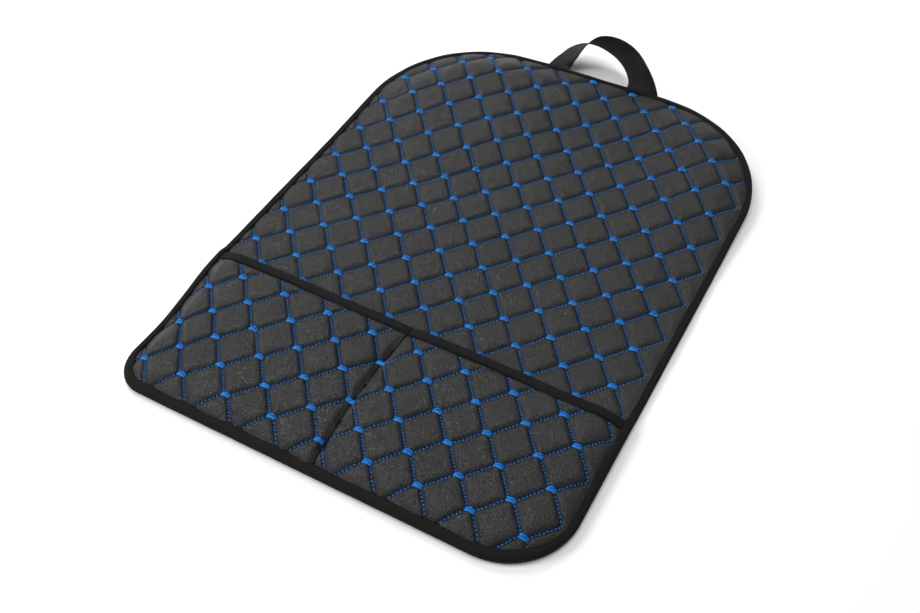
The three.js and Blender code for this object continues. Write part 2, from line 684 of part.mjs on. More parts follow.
const MATERIALS = {
  fauxLeather: { color: 0x373638, roughness: 0.5, metalness: 0 },
  bindingTape: { color: 0x18181a, roughness: 0.85, metalness: 0 },
  webbing: { color: 0x222224, roughness: 0.9, metalness: 0 },
  blueThread: { color: 0x0f6fd8, roughness: 0.6, metalness: 0 },
  blackThread: { color: 0x101012, roughness: 0.7, metalness: 0 },
};

const organizer = new THREE.Group();
function add(name, geometry, material) {
  const mesh = new THREE.Mesh(geometry, new THREE.MeshStandardMaterial(MATERIALS[material]));
  mesh.name = name;
  organizer.add(mesh);
}
add("back_panel", geometryOf(backPanel()), "fauxLeather");
add("back_quilting_thread", backThread(), "blueThread");
add("pocket_panel", geometryOf(pocketPanel()), "fauxLeather");
add("pocket_quilting_thread", pocketThread(), "blueThread");
add("pocket_hem_tape", pocketHem(), "bindingTape");
add("divider_seam", geometryOf(dividerSeam()), "blackThread");
add("edge_binding", edgeBinding(), "bindingTape");
add("webbing_loop", webbingLoop(), "webbing");

export default organizer;
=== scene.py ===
from collections import namedtuple

import bpy
import numpy as np
from mathutils import Matrix, Vector

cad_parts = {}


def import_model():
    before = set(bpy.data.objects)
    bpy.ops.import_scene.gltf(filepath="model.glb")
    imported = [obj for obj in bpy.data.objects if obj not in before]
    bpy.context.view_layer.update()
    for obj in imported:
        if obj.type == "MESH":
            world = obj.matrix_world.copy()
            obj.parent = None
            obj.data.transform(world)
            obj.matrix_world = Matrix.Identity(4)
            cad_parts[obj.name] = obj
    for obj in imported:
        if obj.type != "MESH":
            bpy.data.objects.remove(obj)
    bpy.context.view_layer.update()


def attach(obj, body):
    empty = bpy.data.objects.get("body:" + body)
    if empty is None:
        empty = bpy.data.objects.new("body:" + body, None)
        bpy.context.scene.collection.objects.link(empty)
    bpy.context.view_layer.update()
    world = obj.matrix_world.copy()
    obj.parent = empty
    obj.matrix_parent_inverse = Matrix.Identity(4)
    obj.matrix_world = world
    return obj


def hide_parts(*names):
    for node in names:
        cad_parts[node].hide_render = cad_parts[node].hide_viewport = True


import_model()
MM = 0.001

# The mat's outline, as in the part's source
HALF_WIDTH = 226.75
HALF_LENGTH = 316.25
CROWN_RADIUS = 1450.0
CROWN_X = 80.0
CROWN_Y = HALF_LENGTH - CROWN_RADIUS
# One side's corner and shoulder. Its angles and centres are as seen with x running out to that side.
Side = namedtuple("Side", "sign foot foot_x foot_y shoulder shoulder_x shoulder_y meet")


def side_of(sign, foot, shoulder):
    x = HALF_WIDTH - shoulder
    rise = np.sqrt((CROWN_RADIUS - shoulder) ** 2 - (x - sign * CROWN_X) ** 2)
    meet = np.arctan2(rise, x - sign * CROWN_X)
    return Side(sign, foot, HALF_WIDTH - foot, foot - HALF_LENGTH, shoulder, x, CROWN_Y + rise, meet)


LEFT = side_of(-1, 40.0, 143.0)
RIGHT = side_of(1, 69.0, 150.0)

# How far the left edge is drawn in beside the pocket, the middle of that stretch and its half length,
# and where across the mat it begins and how far out it is whole
LEFT_DRAW = 9.0
LEFT_DRAW_Y = -255.0
LEFT_DRAW_REACH = 115.0
LEFT_DRAW_X = -150.0
LEFT_DRAW_RUN = 76.0

# The quilting: each lattice has the place of one knot and the lean of its columns
PITCH_X = 24.9
PITCH_Y = 25.25
BACK_LATTICE = (-6.8, 0.5, 0.0)
POCKET_LATTICE = (-6.2, -234.5, 0.019)
HALF_KNOT = 4.3
LINE_END = 2.4
# How many knots to each side of the first one a lattice is followed, for stitches and for surfaces, and
# how far off the mat its knots still count for the stitches
STITCH_LATTICE_REACH = 16
MESH_LATTICE_REACH = 13
STITCH_MARGIN = 30.0
# Thickness at the stitches, in a pillow's middle and at the mat's rim, and a pillow's form
STITCHED = 1.5
PADDED = 6.6
RIM = 2.6
GROOVE = 2.3
GROOVE_POWER = 1.4
DOME = 0.3
DOME_REACH = 17.0
PILLOW_SPREAD = 0.7
PUCKER = 0.45
PUCKER_REACH = 4.5
PUCKER_START = 1.5
PUCKER_TURNS = 14.0
PUCKER_SPREAD = 20.0
CREASE = 0.28
CREASE_SCALE = 21.0
CREASE_SEED = 3
RIM_HOLD = 2.5
RIM_RISE = 8.0
BACK_DRAW = 0.5
BACK_DRAW_REACH = 3.0
IN_BINDING_START = 3.0
IN_BINDING_RUN = 5.0
OFF_TABLE = 0.05
# Numbers that give each diamond its own value, and each of its quarters
SCATTER_X = 12.9898
SCATTER_Y = 78.233
SCATTER_SIZE = 43758.5453
QUARTER_X = 1.3
QUARTER_Y = 2.1
# Cuts in each diamond's mesh, from one stitch line to the next, and how they crowd towards the lines
BACK_CUTS = (13, 0.68)
POCKET_CUTS = (22, 0.7)
# How far the panels end inside the mat's edge, and the pocket inside its hem
PANEL_INSET = 2.6
POCKET_END = 1.5

# The quilting's threads. A line's stitches are equal parts of it, each stitched over a span of its part.
STITCHES_A_LINE = 9
STITCH_SPAN = (0.18, 0.8)
STITCH_RADIUS = 0.86
STITCH_ARCH = 1.3
STITCH_TAPER = 0.95
STITCH_WANDER = 0.12
STRANDS = (-1.75, -0.6, 0.6, 1.75)
STRAND_RADIUS = 0.6
STRAND_ARCH = 0.12
STRAND_SINK = -5.0
STRAND_TAPER = 0.45
STRAND_WANDER = 0.15
STRAND_EXTRA = 0.2

# The tapes. Waves are given by their sizes, their lengths over two pi and their starts.
TAPE = 0.9
RIM_BOTTOM = 1.1
BINDING_WIDTH = 7.8
BINDING_WIDTH_WAVES = ((0.35, 31, 2), (0.25, 11, 0))
BINDING_HEIGHT = 4.9
BINDING_HEIGHT_WAVES = ((0.25, 23, 0), (0.2, 7.1, 1))
POCKET_BINDING_EXTRA = 3.6
POCKET_BINDING_RUN = 9.0
FOOT_BINDING_EXTRA = 2.6
FOOT_BINDING_REACH = 40.0
FOOT_BINDING_RUN = 30.0
SEAM_OVER_TAPE = 0.1
MOUTH_Y = -133.25
HEM_WIDTH = 11.0
HEM_WIDTH_WAVES = ((0.35, 19, 0), (0.2, 7, 0))
HEM_HEIGHT = 5.0
HEM_HEIGHT_WAVES = ((0.15, 8.3, 0),)
HEM_LINE_WAVES = ((0.4, 37, 0),)
HEM_DROP = 0.8
HEM_PINCH = 0.35
HEM_PINCH_REACH = 5.0
TAPE_SEAM_RADIUS = 0.32
TAPE_SEAM_ARCH = 0.25

# The pocket's room, its sag, and the valley, crease and folds that its divider makes
POCKET_GAP = 3.4
POCKET_RISE = 28.0
POCKET_CLEARANCE = 0.5
POCKET_SAG = 0.9
SAG_SCALE = 120.0
SAG_SEED = 11
PADDING_RISE = 14.0
MOUTH_SLACK = 0.65
MOUTH_SLACK_START = 34.0
MOUTH_SLACK_RUN = 30.0
HOLD_POWER = 1.6
VALLEY_REACH = 11.0
VALLEY_DIP = 0.8
DIP_REACH = 6.0
CREASE_REACH = 2.3
CREASE_DEPTH = 0.8
FOLD = 1.1
FOLD_START = 2.5
FOLD_REACH = 10.0
FOLD_LENGTH = 3.6
FOLD_SHIFT = 1.7
FOLD_DRIFT = ((1.5, 17.0, 0),)
HEM_ROOM = 5.0
HEM_RUN = 7.0
DIVIDER_YS = (-317.9, -268.9, -221.9, -176.9, -132.9)
DIVIDER_XS = (1.4, -3.1, -5.6, -4.1, -0.6)
DIVIDER_WAVES = ((0.7, 9.0, 0),)

# The head's curl. A wave at the left or right is its height, the x of its middle and its half length, and
# the crown's is its height, the length that it takes of the mat and the part of that in which it rises.
CURL_START_Y = 53.25
CURL_RISE = 173.0
WEBBING_ROOM = 2.6
LEFT_WAVE = (13.0, -135.0, 167.0)
RIGHT_WAVE = (12.0, 206.0, 138.0)
CROWN_WAVE = (4.8, 108.0, 80.0)
ROLL_SHARE = 0.7
ROLL_WIDTH = 50.0

# The webbing's middle line, the way that its breadth points and half its width, from its left tail to its
# right one. It is gathered where it comes out from under the mat on the left.
WEBBING_GUIDES = (
    ((-60.0, 290.0, 4.4), (1.0, -0.1, 0.0), 20.0),
    ((-58.0, 306.0, 4.6), (1.0, -0.02, 0.0), 16.0),
    ((-56.7, 318.8, 6.0), (0.99, 0.08, 0.0), 12.5),
    ((-51.7, 327.1, 12.7), (0.81, -0.53, 0.25), 15.0),
    ((-45.9, 333.9, 19.7), (0.56, -0.76, 0.33), 19.5),
    ((-35.4, 340.0, 30.0), (0.37, -0.76, 0.53), 20.5),
    ((-21.4, 345.0, 35.0), (0.19, -0.62, 0.76), 20.5),
    ((-4.6, 346.2, 34.6), (0.1, -0.45, 0.9), 21.0),
    ((11.6, 344.0, 31.4), (0.18, -0.31, 0.93), 21.5),
    ((25.8, 337.6, 27.0), (0.36, -0.19, 0.91), 20.0),
    ((38.0, 328.8, 19.4), (0.58, -0.18, 0.81), 20.0),
    ((46.2, 321.3, 9.4), (0.86, -0.11, 0.44), 20.0),
    ((50.5, 313.0, 3.0), (1.0, 0.0, 0.0), 20.0),
    ((50.5, 289.9, 2.9), (1.0, 0.0, 0.0), 20.0),
)
WEBBING_THICKNESS = 1.5
WEBBING_STEPS = 150
WEBBING_CUP = 0.5
WEBBING_EDGE_THINNING = 0.35

# The studio, and the photo's camera, from a fit to the quilting: where it is, and the ways that its
# picture's right and down run. Lengths in the studio are in metres.
FLOOR_HALF = 6.0
FLOOR_DROP = 0.0003
FLOOR_WHITE = 0.94
WORLD_STRENGTH = 0.22
SKY_ANGLE = 1.0
LENS_MM = 43.78
CAMERA_AT = (0.36471, -0.72498, 0.81632)
PICTURE_RIGHT = (0.87886, 0.47702, 0.00764)
PICTURE_DOWN = (0.35971, -0.65206, -0.66740)

rng = np.random.default_rng(7)


def smooth(t):
    u = np.clip(t, 0, 1)
    return u * u * (3 - 2 * u)


def bell(t):
    return np.maximum(0, 1 - t * t) ** 2


def waves(s, parts):
    return sum(size * np.sin(s / length + start) for size, length, start in parts)


def lift(x, y):
    """How far the mat's underside is off the table. Its raised head rolls back down at the edge."""
    raised = smooth((y - CURL_START_Y) / CURL_RISE)
    height, length, rise = CROWN_WAVE
    arch = height * smooth((y - HALF_LENGTH + length) / rise)
    arch = arch + raised * sum(h * bell((x - cx) / reach) for h, cx, reach in (LEFT_WAVE, RIGHT_WAVE))
    rolled = ROLL_SHARE * (1 - smooth(edge_distance(x, y) / ROLL_WIDTH))
    return WEBBING_ROOM * raised + arch * (1 - rolled)


def edge_distance(x, y):
    """Distance in from the mat's edge."""
    d = np.minimum(HALF_WIDTH - np.abs(x), y + HALF_LENGTH)
    d = np.minimum(d, CROWN_RADIUS - np.hypot(x - CROWN_X, y - CROWN_Y))
    for side in (LEFT, RIGHT):
        out = side.sign * x
        foot = (out > side.foot_x) & (y < side.foot_y)
        d = np.where(foot, side.foot - np.hypot(out - side.foot_x, y - side.foot_y), d)
        turn = np.arctan2(y - side.shoulder_y, out - side.shoulder_x)
        in_shoulder = side.shoulder - np.hypot(out - side.shoulder_x, y - side.shoulder_y)
        d = np.where((turn > 0) & (turn < side.meet), in_shoulder, d)
    return d


def settled(x, y, inset):
    """Places outside the mat's inset edge are moved in to it."""
    step = 0.01
    d = edge_distance(x, y)
    dx = (edge_distance(x + step, y) - edge_distance(x - step, y)) / (2 * step)
    dy = (edge_distance(x, y + step) - edge_distance(x, y - step)) / (2 * step)
    back = np.maximum(inset - d, 0) / np.maximum(np.hypot(dx, dy), 0.1)
    return x + dx * back, y + dy * back


def run_along(points):
    """The length run from the first point to each."""
    return np.concatenate([[0], np.cumsum(np.linalg.norm(np.diff(points, axis=0), axis=1))])


def edge_path(step):
    """Points round the mat's edge, their outward normals and the length run to each."""
    points, normals = [], []

    def arc(cx, cy, radius, start, end):
        count = max(2, int(abs(end - start) * radius / step))
        for a in np.linspace(start, end, count, endpoint=False):
            n = np.array([np.cos(a), np.sin(a)])
            points.append(np.array([cx, cy]) + radius * n)
            normals.append(n)

    def line(start, end, normal):
        count = int(np.hypot(end[0] - start[0], end[1] - start[1]) / step)
        for t in np.linspace(0, 1, count, endpoint=False):
            points.append((1 - t) * np.array(start) + t * np.array(end))
            normals.append(np.array(normal))

    quarter = np.pi / 2
    arc(RIGHT.foot_x, RIGHT.foot_y, RIGHT.foot, -quarter, 0)
    line((HALF_WIDTH, RIGHT.foot_y), (HALF_WIDTH, RIGHT.shoulder_y), (1.0, 0.0))
    arc(RIGHT.shoulder_x, RIGHT.shoulder_y, RIGHT.shoulder, 0, RIGHT.meet)
    arc(CROWN_X, CROWN_Y, CROWN_RADIUS, RIGHT.meet, np.pi - LEFT.meet)
    arc(-LEFT.shoulder_x, LEFT.shoulder_y, LEFT.shoulder, np.pi - LEFT.meet, np.pi)
    line((-HALF_WIDTH, LEFT.shoulder_y), (-HALF_WIDTH, LEFT.foot_y), (-1.0, 0.0))
    arc(-LEFT.foot_x, LEFT.foot_y, LEFT.foot, np.pi, 3 * quarter)
    line((-LEFT.foot_x, -HALF_LENGTH), (RIGHT.foot_x, -HALF_LENGTH), (0.0, -1.0))
    points = np.array(points)
    return points, np.array(normals), run_along(points)


def waviness(x, y, scale, seed):
    """A gentle unevenness, mostly from -1 to 1, with features about scale across."""
    r = np.random.default_rng(seed)
    total = 0
    for _ in range(7):
        a, phase, size = r.uniform(0, 2 * np.pi), r.uniform(0, 2 * np.pi), r.uniform(0.7, 1.5) * scale
        total = total + np.sin((x * np.cos(a) + y * np.sin(a)) * 2 * np.pi / size + phase)
    return total / 4


def segment_distance(px, py, ax, ay, bx, by):
    dx, dy = bx - ax, by - ay
    t = np.clip(((px - ax) * dx + (py - ay) * dy) / (dx * dx + dy * dy), 0, 1)
    return np.hypot(px - ax - t * dx, py - ay - t * dy), t


def quilting(x, y, lattice):
    """Distance to the nearest stitching, the place along it, the diamond's own number from 0 to 1, and a
    number for which quarter of the diamond it is."""
    knot_x, knot_y, lean = lattice
    x = x - lean * (y - knot_y)
    u, v = (x - knot_x) / PITCH_X, (y - knot_y) / PITCH_Y
    i, j = np.floor((u + v) / 2), np.floor((u - v) / 2)
    cx, cy = knot_x + (i + j + 1) * PITCH_X, knot_y + (i - j) * PITCH_Y
    px, py = np.abs(x - cx), np.abs(y - cy)
    slant, along = segment_distance(px, py, PITCH_X - LINE_END, 0, LINE_END, PITCH_Y)
    head_bar, _ = segment_distance(px, py, 0, PITCH_Y, HALF_KNOT, PITCH_Y)
    side_bar, _ = segment_distance(px, py, PITCH_X - HALF_KNOT, 0, PITCH_X, 0)
    scatter = np.sin(i * SCATTER_X + j * SCATTER_Y) * SCATTER_SIZE
    quarter = np.sign(x - cx) * QUARTER_X + np.sign(y - cy) * QUARTER_Y
    nearest = np.minimum(slant, np.minimum(head_bar, side_bar))
    return nearest, along, scatter - np.floor(scatter), quarter


def quilt_thickness(x, y, lattice, rim):
    """Thickness of the quilted laminate: flat pillows with narrow grooves along the stitch lines."""
    d, along, number, quarter = quilting(x, y, lattice)
    t = np.clip(d / DOME_REACH, 0, 1)
    pillow = (1 - DOME) * (1 - np.exp(-((d / GROOVE) ** GROOVE_POWER))) + DOME * (1 - (1 - t) ** 2)
    height = PADDED - STITCHED + PILLOW_SPREAD * (number - 0.5)
    gather = np.sin(along * PUCKER_TURNS + number * PUCKER_SPREAD + quarter)
    pucker = PUCKER * np.exp(-d / PUCKER_REACH) * gather * np.clip(d / PUCKER_START, 0, 1)
    crease = CREASE * waviness(x, y, CREASE_SCALE, CREASE_SEED) * t
    full = STITCHED + height * pillow + pucker + crease
    held = smooth((edge_distance(x, y) - BINDING_WIDTH + RIM_HOLD) / RIM_RISE)
    return rim + (full - rim) * held


def back_top(x, y):
    return lift(x, y) + quilt_thickness(x, y, BACK_LATTICE, RIM_BOTTOM + RIM)


def divider_x(y):
    return np.interp(y, DIVIDER_YS, DIVIDER_XS) + waves(y, DIVIDER_WAVES)


def seam_hold(x, y, reach):
    """How firmly the divider's seam holds the pocket, from 1 on the seam, and less at the mouth."""
    hold = np.exp(-((np.abs(x - divider_x(y)) / reach) ** HOLD_POWER))
    return hold * (1 - MOUTH_SLACK * smooth((y - MOUTH_Y + MOUTH_SLACK_START) / MOUTH_SLACK_RUN))


def pocket_under(x, y):
    inner = edge_distance(x, y) - BINDING_WIDTH
    free = smooth(inner / POCKET_RISE) * (1 - seam_hold(x, y, VALLEY_REACH))
    rim_top = RIM_BOTTOM + RIM
    crown = rim_top + POCKET_CLEARANCE + (PADDED - rim_top) * smooth(inner / PADDING_RISE)
    sag = POCKET_SAG * waviness(x, y, SAG_SCALE, SAG_SEED) * free
    return crown - VALLEY_DIP * seam_hold(x, y, DIP_REACH) + (POCKET_GAP + sag) * free


def pocket_top(x, y):
    off_seam = x - divider_x(y)
    away = np.abs(off_seam)
    thickness = quilt_thickness(x, y, POCKET_LATTICE, RIM)
    beside = np.exp(-((away / FOLD_REACH) ** 2)) * np.clip(away / FOLD_START, 0, 1)
    shift = np.sign(off_seam) * FOLD_SHIFT + waves(y, FOLD_DRIFT)
    folds = FOLD * beside * np.sin(y / FOLD_LENGTH + shift)
    hem = smooth((y - MOUTH_Y + HEM_WIDTH + HEM_ROOM) / HEM_RUN)
    thickness = thickness + (RIM - thickness) * hem
    creased = thickness * (1 - CREASE_DEPTH * seam_hold(x, y, CREASE_REACH))
    return pocket_under(x, y) + creased + folds * (1 - hem)


# Meshes

def drawn_in(points):
    """The mat's left edge is drawn in a little beside its pocket."""
    points = np.array(points, float)
    x, y = points[:, 0], points[:, 1]
    outward = smooth((LEFT_DRAW_X - x) / LEFT_DRAW_RUN)
    points[:, 0] += LEFT_DRAW * bell((y - LEFT_DRAW_Y) / LEFT_DRAW_REACH) * outward
    return points


def add_object(name, data):
    obj = bpy.data.objects.new(name, data)
    bpy.context.scene.collection.objects.link(obj)
    return obj


def add_mesh(name, points, faces, uv=None):
    """An object from points in millimetres and faces of corner numbers."""
    mesh = bpy.data.meshes.new(name)
    mesh.from_pydata((drawn_in(points) * MM).tolist(), [], faces)
    mesh.polygons.foreach_set("use_smooth", np.ones(len(mesh.polygons), bool))
    if uv is not None:
        layer = mesh.uv_layers.new(name="UVMap")
        corners = np.empty(len(mesh.loops), int)
        mesh.loops.foreach_get("vertex_index", corners)
        layer.data.foreach_set("uv", (np.asarray(uv)[corners] * MM).ravel())
    mesh.update()
    return add_object(name, mesh)


def quilted_slab(name, lattice, cuts, border, top, under):
    """A closed slab whose mesh follows the stitch lines. border(x, y) gives the distance in from the slab's
    own edge, and the places outside it moved in to it."""
    knot_x, knot_y, lean = lattice
    count, crowding = cuts
    even = np.arange(-MESH_LATTICE_REACH * count, MESH_LATTICE_REACH * count) / count
    values = even - crowding * np.sin(2 * np.pi * even) / (2 * np.pi)
    i, j = np.meshgrid(values, values, indexing="ij")
    s, t = i - np.floor(i), j - np.floor(j)
    to_s, to_t = np.minimum(s, 1 - s), np.minimum(t, 1 - t)
    share = to_s / np.maximum(to_s + to_t, 1e-9)
    shift = LINE_END * (share * (1 - 2 * s) + (1 - share) * (1 - 2 * t)) * (to_s + to_t > 0)
    y = knot_y + (i - j) * PITCH_Y
    x = knot_x + (i + j) * PITCH_X + lean * (y - knot_y) + shift
    inside, x, y = border(x, y)
    index = np.arange(x.size).reshape(x.shape)
    quads = np.stack([index[:-1, :-1], index[:-1, 1:], index[1:, 1:], index[1:, :-1]], -1).reshape(-1, 4)
    quads = quads[(inside.ravel()[quads] > 0).any(1)]
    used, numbers = np.unique(quads, return_inverse=True)
    quads = numbers.reshape(-1, 4)
    x, y = x.ravel()[used], y.ravel()[used]
    count = len(used)
    edges = np.stack([quads, np.roll(quads, -1, 1)], -1).reshape(-1, 2)
    codes = edges[:, 0] * count + edges[:, 1]
    border_edges = edges[~np.isin(codes, edges[:, 1] * count + edges[:, 0])]
    a, b = border_edges.T
    walls = np.stack([b, a, a + count, b + count], -1)
    points = np.concatenate([np.column_stack([x, y, top(x, y)]), np.column_stack([x, y, under(x, y)])])
    faces = np.concatenate([quads, walls, quads[:, ::-1] + count])
    return add_mesh(name, points, faces.tolist()), len(quads) + len(walls)


def swept(name, rings, closed, uv_rings=None):
    """A tube through rings of points, closed on itself or capped at its ends."""
    rings = np.asarray(rings)
    count, size = rings.shape[:2]
    index = np.arange(count * size).reshape(count, size)
    following = np.roll(index, -1, 0) if closed else index[1:]
    here = index if closed else index[:-1]
    a, b = here, np.roll(here, -1, 1)
    c, d = np.roll(following, -1, 1), following
    faces = [tuple(int(v) for v in f) for f in np.stack([a, d, c, b], -1).reshape(-1, 4)]
    if not closed:
        faces += [tuple(int(v) for v in index[0]), tuple(int(v) for v in index[-1][::-1])]
    uv = None if uv_rings is None else np.asarray(uv_rings).reshape(-1, 2)
    return add_mesh(name, rings.reshape(-1, 3), faces, uv)


def turn_out(obj):
    """Faces turned outwards, from the sign of the mesh's volume."""
    mesh = obj.data
    mesh.calc_loop_triangles()
    co = np.empty(len(mesh.vertices) * 3)
    mesh.vertices.foreach_get("co", co)
    tri = np.empty(len(mesh.loop_triangles) * 3, int)
    mesh.loop_triangles.foreach_get("vertices", tri)
    a, b, c = np.moveaxis(co.reshape(-1, 3)[tri.reshape(-1, 3)], 1, 0)
    if np.einsum("ij,ij->", a, np.cross(b, c)) < 0:
        mesh.flip_normals()
    return obj


def stitches(name, starts, ends, height, radius, arch, rings=4, sink=0.35, taper=0.82):
    """One mesh of many short threads on the surface height(x, y). Each rises by arch in its middle and is
    sunk by a share, sink, of that arch. Its ends are thinner by taper."""
    sides = 5
    starts, ends = np.asarray(starts), np.asarray(ends)
    along = ends - starts
    length = np.linalg.norm(along, axis=1, keepdims=True)
    across = np.stack([-along[:, 1], along[:, 0]], -1) / length
    t = np.linspace(0, 1, rings)
    swell = np.sqrt(np.clip(1 - (2 * t - 1) ** 2 * taper, 0, 1))
    rise = arch * np.sin(np.pi * t) - sink * arch
    angle = np.arange(sides) * 2 * np.pi / sides
    plan = starts[:, None, :] + along[:, None, :] * t[None, :, None]
    base = height(plan[..., 0], plan[..., 1])
    base = np.maximum(base, np.minimum(base[:, :1], base[:, -1:]))
    offset = radius * swell[:, None] * np.cos(angle)[None, :]
    up = radius * swell[:, None] * np.sin(angle)[None, :]
    xy = plan[:, :, None, :] + across[:, None, None, :] * offset[None, :, :, None]
    z = base[:, :, None] + rise[None, :, None] + up[None]
    points = np.concatenate([xy, z[..., None]], -1)
    count = len(starts)
    index = np.arange(count * rings * sides).reshape(count, rings, sides)
    a, d = index[:, :-1], index[:, 1:]
    b, c = np.roll(a, -1, 2), np.roll(d, -1, 2)
    quads = np.stack([a, b, c, d], -1).reshape(-1, 4).tolist()
    caps = index[:, 0, ::-1].tolist() + index[:, -1].tolist()
    run = np.broadcast_to((t * 3.0)[None, :, None], z.shape)
    turn = np.broadcast_to((angle * radius)[None, None, :], z.shape)
    uv = np.stack([run + np.arange(count)[:, None, None] * 3.0, turn], -1).reshape(-1, 2)
    return turn_out(add_mesh(name, points.reshape(-1, 3), quads + caps, uv))


def lattice_lines(lattice, keep):
    """The quilting's bars where keep(x, y) holds, and all its lines, as start and end points."""
    bars, lines = [], []
    knot_x, knot_y, lean = lattice
    steps = range(-STITCH_LATTICE_REACH, STITCH_LATTICE_REACH + 1)
    for i in steps:
        for j in steps:
            y = knot_y + (i - j) * PITCH_Y
            x = knot_x + (i + j) * PITCH_X + lean * (y - knot_y)
            if abs(x) > HALF_WIDTH + STITCH_MARGIN or abs(y) > HALF_LENGTH + STITCH_MARGIN:
                continue
            bars.append(((x - HALF_KNOT, y), (x + HALF_KNOT, y)))
            for rise in (1, -1):
                lines.append(((x + LINE_END, y), (x + PITCH_X - LINE_END, y + rise * PITCH_Y)))
    return [b for b in bars if keep(*b[0]) and keep(*b[1])], lines


def quilting_stitches(name, lattice, keep, height, material):
    """The stitches along every line, with a bar of close strands at each knot."""
    bars, lines = lattice_lines(lattice, keep)
    starts, ends = [], []
    for a, b in lines:
        a, b = np.array(a), np.array(b)
        for k in range(STITCHES_A_LINE):
            s, e = (a + (b - a) * (k + part) / STITCHES_A_LINE for part in STITCH_SPAN)
            wander = rng.normal(0, STITCH_WANDER, 2)
            if keep(*s) and keep(*e):
                starts.append(s + wander)
                ends.append(e + wander)
    threads = stitches(
        name, starts, ends, height, STITCH_RADIUS, STITCH_ARCH, rings=6, taper=STITCH_TAPER
    )
    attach(threads, "root")
    threads.data.materials.append(material)
    starts, ends = [], []
    for a, b in bars:
        for strand in STRANDS:
            wander = rng.normal(0, STRAND_WANDER, 4)
            starts.append(np.array(a) + (wander[0] - STRAND_EXTRA, strand + wander[1] / 2))
            ends.append(np.array(b) + (wander[2] + STRAND_EXTRA, strand + wander[3] / 2))
    strands = stitches(
        name + "_knots",
        starts,
        ends,
        height,
        STRAND_RADIUS,
        STRAND_ARCH,
        rings=5,
        sink=STRAND_SINK,
        taper=STRAND_TAPER,
    )
    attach(strands, "root")
    strands.data.materials.append(material)
    return threads


# Materials

class Nodes:
    """A short way to write a material's nodes."""

    def __init__(self, name, color, roughness):
        self.material = bpy.data.materials.new(name)
        self.material.use_nodes = True
        self.material.diffuse_color = (*color, 1)
        self.tree = self.material.node_tree
        self.shader = self.tree.nodes["Principled BSDF"]
        self.shader.inputs["Base Color"].default_value = (*color, 1)
        self.shader.inputs["Roughness"].default_value = roughness

    def add(self, kind, **values):
        node = self.tree.nodes.new(kind)
        for key, value in values.items():
            if key in node.inputs:
                node.inputs[key].default_value = value
            else:
                setattr(node, key, value)
        return node

    def link(self, out, into):
        self.tree.links.new(out, into)

    def coordinates(self, kind, scale):
        source = self.add("ShaderNodeTexCoord")
        mapping = self.add("ShaderNodeMapping")
        mapping.inputs["Scale"].default_value = scale
        self.link(source.outputs[kind], mapping.inputs["Vector"])
        return mapping.outputs["Vector"]

    def texture(self, kind, vector, **values):
        node = self.add(kind, **values)
        self.link(vector, node.inputs["Vector"])
        return node

    def math(self, operation, a, b):
        node = self.add("ShaderNodeMath", operation=operation)
        for socket, value in zip(node.inputs, (a, b)):
            if isinstance(value, (int, float)):
                socket.default_value = value
            else:
                self.link(value, socket)
        return node.outputs[0]

    def ramp(self, value, stops):
        node = self.add("ShaderNodeValToRGB")
        elements = node.color_ramp.elements
        while len(elements) < len(stops):
            elements.new(0.5)
        for element, (place, color) in zip(elements, stops):
            element.position = place
            element.color = (*color, 1)
        self.link(value, node.inputs["Fac"])
        return node.outputs["Color"]

    def bump(self, height, strength, distance, under=None):
        node = self.add("ShaderNodeBump", Strength=strength, Distance=distance)
        self.link(height, node.inputs["Height"])
        if under is not None:
            self.link(under, node.inputs["Normal"])
        return node.outputs["Normal"]

    def finish(self, normal, color=None, roughness=None):
        self.link(normal, self.shader.inputs["Normal"])
        if color is not None:
            self.link(color, self.shader.inputs["Base Color"])
        if roughness is not None:
            self.link(roughness, self.shader.inputs["Roughness"])
        return self.material


def gray(value, tint=(1.0, 1.0, 1.0)):
    return tuple(value * t for t in tint)


def faux_leather():
    """Dark grained faux leather with a soft sheen."""
    m = Nodes("faux_leather", gray(0.0155), 0.38)
    place = m.coordinates("Object", (1, 1, 1))
    grain = m.texture("ShaderNodeTexVoronoi", place, Scale=620.0, feature="DISTANCE_TO_EDGE")
    pores = m.texture("ShaderNodeTexNoise", place, Scale=1300.0, Detail=2.0)
    folds = m.texture("ShaderNodeTexNoise", place, Scale=70.0, Detail=2.0)
    cloud = m.texture("ShaderNodeTexNoise", place, Scale=14.0, Detail=3.0)
    normal = m.bump(folds.outputs["Fac"], 0.3, 0.006)
    normal = m.bump(grain.outputs["Distance"], 0.65, 0.002, normal)
    normal = m.bump(pores.outputs["Fac"], 0.4, 0.0007, normal)
    color = m.ramp(cloud.outputs["Fac"], [(0.3, gray(0.014)), (0.7, gray(0.0175, (1.0, 0.98, 0.96)))])
    rough = m.math("ADD", m.math("MULTIPLY", pores.outputs["Fac"], 0.16), 0.3)
    m.shader.inputs["Specular IOR Level"].default_value = 0.37
    return m.finish(normal, color, rough)


def backing_cloth():
    """The mat's plain black non-woven back."""
    m = Nodes("backing_cloth", gray(0.012), 0.9)
    place = m.coordinates("Object", (1, 1, 1))
    dimples = m.texture("ShaderNodeTexVoronoi", place, Scale=420.0)
    fibre = m.texture("ShaderNodeTexNoise", place, Scale=900.0, Detail=4.0)
    normal = m.bump(dimples.outputs["Distance"], 0.35, 0.001)
    normal = m.bump(fibre.outputs["Fac"], 0.4, 0.0005, normal)
    color = m.ramp(fibre.outputs["Fac"], [(0.35, gray(0.009)), (0.65, gray(0.018))])
    return m.finish(normal, color)


